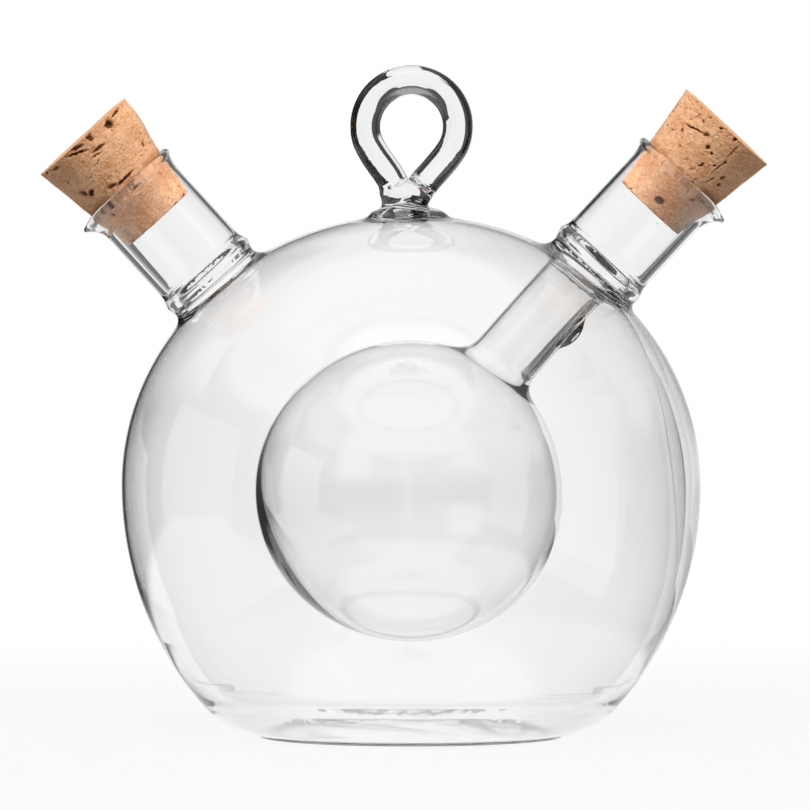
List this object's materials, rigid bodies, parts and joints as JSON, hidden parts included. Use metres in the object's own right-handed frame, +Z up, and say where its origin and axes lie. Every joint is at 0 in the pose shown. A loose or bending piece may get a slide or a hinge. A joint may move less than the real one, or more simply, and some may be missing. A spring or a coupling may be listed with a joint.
{
  "type": "two-compartment glass bottle",
  "caption": "Clear glass globe bottle with an inner bulb, slanted necks with tapered corks and a hanging loop, for two liquids kept apart.",
  "frame": {"origin": "centre of the flat base, on the surface that the bottle stands on", "axes": "+Z up, +X towards the neck that serves the inner bulb, -Y towards the viewer of the picture"},
  "size_m": [0.1246, 0.1, 0.1159],
  "materials": {
    "glass": "clear, fire-polished",
    "cork": "dry natural cork with dark pits"
  },
  "bodies": {
    "bottle": {"globe": "glass", "left_neck": "glass", "right_neck": "glass", "inner_bulb": "glass", "inner_stem": "glass", "loop_foot": "glass", "hanging_loop": "glass"},
    "left_cork": {"left_cork": "cork"},
    "right_cork": {"right_cork": "cork"}
  },
  "joints": [
    {"name": "left_cork_pull", "type": "slide", "parent": "bottle", "child": "left_cork", "axis": [-0.673, 0, 0.7396], "range_m": [0, 0.04]},
    {"name": "right_cork_pull", "type": "slide", "parent": "bottle", "child": "right_cork", "axis": [0.682, 0, 0.7314], "range_m": [0, 0.04]}
  ]
}
